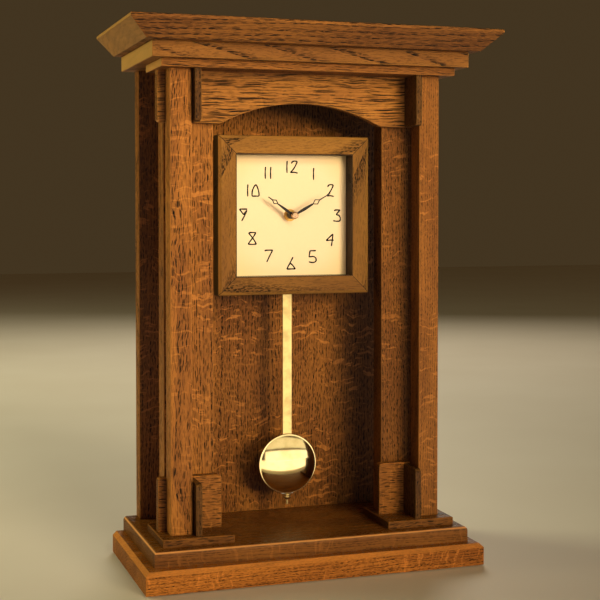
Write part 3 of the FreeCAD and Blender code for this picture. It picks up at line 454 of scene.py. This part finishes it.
def slotted_heads(across, centres, apart=8.6, stagger=1.6, dome_r=1.9, head_r=2.1, half_slot=0.26,
                  slot_deep=0.3):
    """Three low screw heads on each hinge leaf. A head's height falls with the square of its radius, and
    every point nearer the slot's line than half its width is pressed down."""
    r = np.linspace(0.02, dome_r, 16)
    dome = list(zip(r.tolist(), (0.45 - 0.22 * (r / dome_r) ** 2).tolist()))
    profile = [(0.02, -0.1)] + dome + [(head_r, 0.02), (head_r, -0.1)]
    shells = []
    for row, height in enumerate(centres):
        for place, (side, up) in enumerate(((0.0, -apart), (stagger, 0.0), (0.0, apart))):
            centre = (across + side * MM, LEAF_TOP, height + up * MM)
            points, faces = turned(profile, centre, 48)
            lie = 0.5 + 1.1 * place + 0.7 * row
            off = (points[:, 0] - centre[0]) * math.cos(lie) + (points[:, 2] - centre[2]) * math.sin(lie)
            pressed = (np.abs(off) < half_slot * MM) & (points[:, 1] > LEAF_TOP + 0.1 * MM)
            points[pressed, 1] -= slot_deep * MM
            shells.append((points, faces))
    return shells


fixed_low, fixed_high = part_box("hinge_leaves_fixed")
HINGE_MIDDLES = (fixed_low.z + LEAF_HALF_HEIGHT * MM, fixed_high.z - LEAF_HALF_HEIGHT * MM)
make_piece("hinge_screws_fixed", slotted_heads(fixed_high.x - SCREWS_IN_FIXED * MM, HINGE_MIDDLES),
           satin_brass, "case", smooth_angle=30.0)
door_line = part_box("hinge_leaves_door")[0].x + SCREWS_IN_DOOR * MM
make_piece("hinge_screws_door", slotted_heads(door_line, HINGE_MIDDLES), satin_brass, "hatch_door",
           smooth_angle=30.0)

# ---- Dial box -----------------------------------------------------------------------------------------
# Thin stained boards: a backing board for the dial and four walls that carry it off the back board.

box_wood = oak("box_wood", "z", "y", 15.0, fleck=0.0, ring=4.0, tone=0.62)
dress(box_wood, "box_side_left", "box_side_right", "dial_board")
dress(oak("box_wood_level", "x", "z", 15.7, fleck=0.0, ring=4.0, tone=0.62), "box_roof", "box_floor")
steel = Finish("plated_steel", Metallic=1.0)
specks = steel.noise(steel.place(), (0.8, 0.8, 0.8), detail=3.0)
steel.colour(steel.blend(specks, linear(150, 148, 142), linear(196, 194, 188)))
steel.roughness(steel.math("MULTIPLY_ADD", specks, 0.2, 0.25))
dress(steel, "dial_screws", "battery_contacts", "hanger_magnet", "bob_back")

# ---- Dial frame ---------------------------------------------------------------------------------------
# Four oak rails, mitred and glued at the corners, with a bevel round the outer edge. The grain follows
# each rail and the seams are stained dark. Painted shade darkens the rails along the opening and round
# their outer sides.

FRAME_MIDDLE = (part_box("dial_frame_bottom")[0].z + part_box("dial_frame_top")[1].z) / 2
FRAME_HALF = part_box("dial_frame_right")[1].x
SIGHT_HALF, PAINTED_SHADE_REACH = 62.8, 0.6  # half the opening, and how far the painted shade reaches past its edge
RAILS = (("top", "x", 0.86, -0.42), ("right", "z", 0.70, -0.42), ("bottom", "x", 0.80, 0.12),
         ("left", "z", 0.90, 0.42))
for number, (rail, grain, rail_tone, rail_taper) in enumerate(RAILS):
    dress(oak("oak_frame_" + rail, grain, "x" if grain == "z" else "z", 17.0 + 0.7 * number, pith=34.0,
              ring=62.0, early_to=0.24, taper=rail_taper, slope=1.0, fleck=0.1, pore=2.6, lines=0.8,
              open_to=0.44, spread=0.97, depth=0.85, tone=rail_tone, olive=0.9,
              mitred=(FRAME_MIDDLE / MM, SIGHT_HALF + PAINTED_SHADE_REACH, FRAME_HALF / MM)), "dial_frame_" + rail)

# ---- Dial card and numerals ---------------------------------------------------------------------------
# A cream card in a shallow seat, with twelve hand-drawn numerals printed in dark ink.

card = Finish("cream_card", Roughness=0.62, Specular_IOR_Level=0.3)
CARD_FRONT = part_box("dial_sheet")[0].y
CARD_MIDDLE = (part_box("dial_sheet")[0].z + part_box("dial_sheet")[1].z) / 2
RIM_TINT_FROM, RIM_TINT_TO = 44.0, 88.0  # the card turns yellower and a little darker between these distances from its middle
fibres = card.noise(card.place(), (0.5, 0.5, 0.5), detail=4.0)
patch = card.noise(card.place(), (0.015, 0.015, 0.015))
from_arbor = card.add("VectorMath", {0: card.place(shift=(0.0, -CARD_FRONT / MM, -CARD_MIDDLE / MM))},
                      operation="LENGTH").node.outputs["Value"]
rim_tint_and_patches = card.math("MAXIMUM", card.step(from_arbor, RIM_TINT_FROM, RIM_TINT_TO), card.math("MULTIPLY", patch, 0.3))
paper = card.blend(fibres, linear(250, 220, 190), linear(247, 215, 182))
card.colour(card.blend(rim_tint_and_patches, paper, linear(240, 206, 158)))
card.bump(fibres, 0.02, 0.4)
dress(card, "dial_sheet")

STROKES = {  # digit: its strokes, each a line of (across, up) points in millimetres
    "0": [[(0.6, 6.4), (-1.8, 3.4), (-3.4, -0.6), (-3.7, -5.2), (-3.0, -5.9), (0.4, -5.8), (3.4, -5.9),
           (4.1, -5.0), (3.6, -0.8), (2.2, 3.6), (0.6, 6.4)]],
    "1": [[(0.35, 6.5), (0.0, 2.0), (0.0, -2.0), (0.15, -6.3)]],
    "2": [[(-2.9, 3.6), (-1.9, 5.5), (0.2, 6.3), (3.2, 6.0), (3.3, 5.0), (1.6, 1.2), (-1.2, -3.0),
           (-3.9, -5.5), (-3.3, -5.6), (0.2, -5.4), (4.2, -6.3)]],
    "3": [[(-3.0, 4.8), (-1.6, 6.0), (3.3, 5.9), (3.1, 5.4), (-0.6, 1.2), (-0.2, 0.9), (2.6, 0.2),
           (4.0, -2.4), (3.9, -5.2), (2.4, -6.0), (-0.8, -6.1), (-4.2, -5.3)]],
    "4": [[(1.4, -6.6), (2.4, -0.6), (3.2, 6.3), (2.6, 5.9), (-4.2, -0.1), (-3.8, -0.5), (0.4, 0.0),
           (4.1, -0.3)]],
    "5": [[(4.0, 6.2), (-2.6, 6.1), (-2.9, 5.7), (-3.9, -0.2), (-3.4, -0.2), (1.6, 0.2), (3.9, -1.8),
           (4.1, -4.6), (2.2, -6.1), (-1.0, -6.3), (-4.3, -5.4)]],
    "6": [[(2.2, 6.5), (-0.6, 1.4), (-4.5, -5.6), (-4.2, -6.1), (0.2, -6.0), (4.6, -6.0), (4.3, -5.6),
           (1.6, -2.0), (-1.0, 0.2)]],
    "7": [[(-4.2, 4.9), (-3.4, 6.0), (3.8, 6.1), (4.2, 5.6), (1.2, 0.2), (-2.0, -6.4)]],
    "8": [[(-3.4, 6.2), (3.6, 6.1), (3.9, 5.7), (1.0, 1.0), (-4.1, -5.3), (-3.8, -5.9), (0.2, -6.2),
           (4.2, -5.9), (4.3, -5.3), (1.4, -0.4), (-3.6, 5.6), (-3.4, 6.2)]],
    "9": [[(3.8, 5.6), (3.2, 6.2), (-3.9, 6.1), (-4.1, 5.6), (-0.2, 0.6), (0.2, 0.7), (4.0, 5.8),
           (1.2, -0.4), (-2.2, -6.4)]],
}
NUMERALS = {  # hour: (across, up) from the hand arbor to the numeral's centre
    "12": (2.0, 50.4), "1": (26.2, 43.3), "2": (44.9, 26.0), "3": (52.4, -0.5), "4": (44.9, -26.4),
    "5": (25.2, -43.7), "6": (1.4, -50.4), "7": (-23.3, -42.5), "8": (-41.2, -24.1), "9": (-50.3, 0.3),
    "10": (-40.6, 25.7), "11": (-24.0, 44.0)}
PAIRS = {  # hour: where its two digits stand about the numeral's centre
    "10": ((-5.4, 0.0), (3.0, 0.0)), "11": ((-2.9, 0.0), (2.9, 0.0)), "12": ((-5.2, 0.0), (2.6, 0.0))}
arbor_low, arbor_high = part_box("mounting_washer")
ARBOR_X, ARBOR_Z = (arbor_low.x + arbor_high.x) / 2, (arbor_low.z + arbor_high.z) / 2


def rounded(points, passes=2, cut=0.18):
    """Corner cutting: each pass replaces a corner by two points, at the share cut along its two sides."""
    line = np.array(points, float)
    for _ in range(passes):
        a, b = line[:-1], line[1:]
        inside = np.stack([(1 - cut) * a + cut * b, cut * a + (1 - cut) * b], 1).reshape(-1, 2)
        line = np.concatenate([line[:1], inside, line[-1:]])
    return line


def pen_stroke(line, half_width, thick):
    """A flat-bottomed ridge carried along a line: its width follows a circle to a round tip at both ends
    and wavers by a tenth, as a pen's does, and its section is a low arch. Returns points (along, round, 3)
    as across, up and out of the card."""
    run = np.gradient(line, axis=0)
    run /= np.linalg.norm(run, axis=1, keepdims=True)
    side = np.stack([-run[:, 1], run[:, 0]], 1)
    length = np.concatenate([[0], np.cumsum(np.linalg.norm(np.diff(line, axis=0), axis=1))])
    end = np.minimum(length, length[-1] - length) / half_width
    width = half_width * np.sqrt(np.clip(1 - (1 - np.clip(end, 0, 1)) ** 2, 0.04, 1))
    width *= 1 + 0.10 * np.sin(length * 0.9)
    across = np.array([-1.0, -0.6, 0.0, 0.6, 1.0])
    out = thick * np.array([0.35, 0.9, 1.0, 0.9, 0.35])
    low = np.array([1.0, -1.0])
    spread = np.concatenate([across, low])
    rise = np.concatenate([out, [0.0, 0.0]])
    points = line[:, None, :] + width[:, None, None] * spread[None, :, None] * side[:, None, :]
    return np.concatenate([points, np.broadcast_to(rise[None, :, None], points.shape[:2] + (1,))], 2)


def tube_faces(rows, cols):
    """Quads of a closed tube of rows rings with cols points each, and its two end caps."""
    i, j = np.meshgrid(np.arange(rows - 1), np.arange(cols), indexing="ij")
    k = (j + 1) % cols
    here, above = i * cols, (i + 1) * cols
    quads = np.stack([here + j, here + k, above + k, above + j], -1).reshape(-1, 4)
    return quads.tolist() + [list(range(cols))[::-1], list(range((rows - 1) * cols, rows * cols))]


def draw_numerals(half_width=0.74, thick=0.05):
    """Every stroke of the twelve numerals, a hair in front of the card, as one closed shell each."""
    shells = []
    for hour, (across, up) in NUMERALS.items():
        for digit, (dx, dz) in zip(hour, PAIRS.get(hour, ((0.0, 0.0),))):
            for stroke in STROKES[digit]:
                ridge = pen_stroke(rounded(stroke), half_width, thick)
                x = ARBOR_X + (across + dx + ridge[..., 0]) * MM
                z = ARBOR_Z + (up + dz + ridge[..., 1]) * MM
                y = CARD_FRONT - (ridge[..., 2] + 0.01) * MM
                shells.append((np.stack([x, y, z], -1), tube_faces(*x.shape)))
    return shells


ink = Finish("dial_ink", Roughness=0.8, Specular_IOR_Level=0.1)
ink_cloud = ink.noise(ink.place(), (0.6, 0.6, 0.6))
ink.colour(ink.blend(ink_cloud, linear(9, 7, 3), linear(26, 20, 10)))
make_piece("dial_numerals", draw_numerals(), ink, "case")

# ---- Hands, cap nut and bush nut ----------------------------------------------------------------------
# Blackened steel hands, each with an open diamond, pressed on the arbors. A turned brass cap nut holds
# the minute hand. A thin brass nut and washer clamp the dial to the movement's bush.

blackened = Finish("hand_black", Metallic=0.3)
rub = blackened.noise(blackened.place(), (0.35, 0.35, 0.35), detail=3.0)
blackened.colour(blackened.blend(blackened.step(rub, 0.45, 0.75), linear(26, 17, 10), linear(56, 36, 20)))
blackened.roughness(blackened.math("MULTIPLY_ADD", rub, 0.2, 0.3))
dress(blackened, "hour_hand", "minute_hand")


def arc(centre_r, centre_d, radius, start, end, count):
    """Points on a circle in the profile's plane, angles in degrees from the outward direction."""
    angle = np.radians(np.linspace(start, end, count))
    r, depth = centre_r + radius * np.cos(angle), centre_d + radius * np.sin(angle)
    return list(zip(r.tolist(), depth.tolist()))


cap_low, cap_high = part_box("hand_cap_nut")
cap_depth = (cap_high.y - cap_low.y) / MM
cap_floor = cap_depth - 1.7  # the blind hole that screws on the arbor ends here
cap_profile = [(0.02, 0.0), (1.0, 0.05)] + arc(2.3, 1.45, 1.45, -90, 0, 10) + [
    (3.75, cap_depth - 0.3), (3.5, cap_depth), (1.56, cap_depth), (1.56, cap_floor), (0.02, cap_floor)]
pink_brass = brass("cap_brass", rough=0.16, tone=(218, 176, 138))
cap = make_piece("hand_cap", [turned(cap_profile, (ARBOR_X, cap_low.y, ARBOR_Z))], pink_brass,
                 "minute_train")
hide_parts("hand_cap_nut")
dress(satin_brass, "mounting_nut", "mounting_washer", "minute_arbor")

# ---- Movement -----------------------------------------------------------------------------------------
# A moulded battery movement: two black shells, acetal wheels, a stepping motor, a pendulum coil and one
# cell in a trough. It hangs from the dial board by its bush.

black_shell = Finish("case_plastic")
grit = black_shell.noise(black_shell.place(), (2.2, 2.2, 2.2))
black_shell.colour(black_shell.blend(grit, linear(20, 20, 21), linear(36, 36, 38)))
black_shell.roughness(black_shell.math("MULTIPLY_ADD", grit, 0.15, 0.42))
black_shell.bump(grit, 0.03, 0.6)
dress(black_shell, "movement_front_case", "movement_rear_case", "pendulum_hanger")

acetal = Finish("gear_plastic", Subsurface_Weight=0.1)
haze = acetal.noise(acetal.place(), (0.3, 0.3, 0.3), detail=3.0)
acetal.colour(acetal.blend(haze, linear(214, 208, 190), linear(236, 232, 220)))
acetal.roughness(acetal.math("MULTIPLY_ADD", haze, 0.15, 0.38))
dress(acetal, "hour_wheel", "minute_wheel", "third_wheel", "setting_knob")

copper = Finish("copper_wire", Metallic=0.9)
turns = copper.add("TexWave", {"Vector": copper.place(), "Scale": 0.55, "Distortion": 0.4, "Detail": 1.0},
                   bands_direction="Z")
copper.colour(copper.blend(turns, linear(96, 44, 20), linear(206, 112, 62)))
copper.roughness(0.32)
copper.bump(turns, 0.08, 0.8)
dress(copper, "stepper_motor", "drive_coil")

board_green = Finish("circuit_board", Roughness=0.4)
spaced = board_green.stretch(board_green.place(), (0.35, 0.35, 0.35))
tracks = board_green.add("TexVoronoi", {"Vector": spaced, "Scale": 1.0}, feature="DISTANCE_TO_EDGE")
board_green.colour(board_green.blend(board_green.step(tracks, 0.05, 0.09), linear(150, 128, 60),
                                     linear(22, 74, 48)))
dress(board_green, "circuit_board")

WRAP_EDGE, STEEL_EDGE = 11.0, 23.2  # where the dark sleeve and the copper band end along the cell
cell = Finish("cell_wrap")
along = cell.add("SeparateXYZ", {"Vector": cell.place()})
band = cell.step(along, WRAP_EDGE, WRAP_EDGE + 0.4)
steel_end = cell.step(along, STEEL_EDGE, STEEL_EDGE + 0.3)
dents = cell.noise(cell.place(), (0.7, 0.7, 0.7))
wrap = cell.blend(band, linear(24, 24, 26), linear(176, 104, 52))
cell.colour(cell.blend(steel_end, wrap, linear(188, 186, 180)))
cell.set(cell.shader.inputs["Metallic"], cell.math("MULTIPLY", band, 0.8))
cell.roughness(cell.math("MULTIPLY_ADD", dents, 0.15, 0.24))
dress(cell, "battery")

# ---- Pendulum -----------------------------------------------------------------------------------------
# A polished flat brass strip hooked on the movement's arm. The bob is a spun brass dome with a rolled
# rim, which slides on the strip and rests on a knurled brass nut.

bright_brass = brass("brass_polished", rough=0.30, tone=(244, 208, 138))
dress(bright_brass, "pendulum_rod")
bob_low, bob_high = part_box("bob_shell")
BOB_X, BOB_Z = (bob_low.x + bob_high.x) / 2, (bob_low.z + bob_high.z) / 2
BOB_R, BOB_DEEP = (bob_high.x - bob_low.x) / 2 / MM, (bob_high.y - bob_low.y) / MM


def bob_profile(rim=1.3, rim_thick=1.6, skin=0.9, lap=0.9):
    """Half section of the dome: a shallow spherical cap, a small cove, then a half-round rim, and the same
    sphere a skin's thickness behind. A sphere's radius is the squares of the cap's half width and of its
    height, added and divided by twice the height."""
    inner, dome = BOB_R - rim, BOB_DEEP - rim_thick
    sphere = (inner ** 2 + dome ** 2) / (2 * dome)
    r = np.linspace(0.02, inner - 0.15, 44)
    face = list(zip(r.tolist(), (sphere - np.sqrt(sphere ** 2 - r ** 2)).tolist()))
    half = rim_thick / 2
    rolled = arc(BOB_R - half, dome + half, half, -100, 90, 12)
    r = np.linspace(inner - lap, 0.02, 24)
    behind = list(zip(r.tolist(), (skin + sphere - np.sqrt(sphere ** 2 - r ** 2)).tolist()))
    return face + rolled + [(inner - lap, BOB_DEEP)] + behind


bob_metal = Finish("bob_brass", Metallic=1.0)
centred = bob_metal.place(shift=(-BOB_X / MM, 0.0, -BOB_Z / MM))
out = bob_metal.add("VectorMath", {0: bob_metal.stretch(centred, (1.0, 0.0, 1.0))}, operation="LENGTH")
rings = bob_metal.add("TexNoise", {"W": out.node.outputs["Value"], "Scale": 2.5, "Detail": 3.0},
                      noise_dimensions="1D")
bloom = bob_metal.noise(centred, (0.08, 0.08, 0.08), detail=3.0)
bob_metal.colour(bob_metal.blend(bob_metal.step(bloom, 0.35, 0.75), linear(252, 230, 172),
                                 linear(240, 212, 150)))
bob_metal.roughness(bob_metal.math("MULTIPLY_ADD", rings, 0.08, 0.07))
bob_metal.bump(rings, 0.004, 0.4)
bob = make_piece("bob_dome", [turned(bob_profile(), (BOB_X, bob_low.y, BOB_Z), 128)], bob_metal, "bob",
                 smooth_angle=35.0)
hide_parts("bob_shell")

nut_low, nut_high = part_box("rating_nut")


def knurled_nut(bore=1.4, teeth=24, grip=0.12):
    """Half section with two ribs and a tapered foot, spun about the stud. Past a radius of 3.3 mm the
    radius is cut by grip times half of one plus the cosine of teeth times the angle: that is the knurl."""
    tall = (nut_high.z - nut_low.z) / MM
    section = [(bore, 0.0), (3.2, 0.0), (3.65, 0.2), (3.85, 0.6), (3.85, 1.2), (3.65, 1.6), (3.0, 1.85),
               (3.0, 2.15), (3.65, 2.4), (3.88, 2.8), (3.88, 3.4), (3.65, 3.8), (2.9, 4.2), (2.1, 5.0),
               (1.8, tall - 0.2), (1.65, tall), (bore, tall)]
    points, faces = turned(section, (0.0, 0.0, 0.0), 4 * teeth)
    x, depth, y = points.T
    r = np.hypot(x, y)
    cut = 1 - grip * MM * (0.5 + 0.5 * np.cos(teeth * np.arctan2(x, y))) / r * (r > 3.3 * MM)
    return np.stack([(nut_low.x + nut_high.x) / 2 + x * cut, (nut_low.y + nut_high.y) / 2 + y * cut,
                     nut_high.z - depth], -1), faces


nut = make_piece("nut_knurled", [knurled_nut()], bright_brass, "rating_nut", smooth_angle=30.0)
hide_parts("rating_nut")
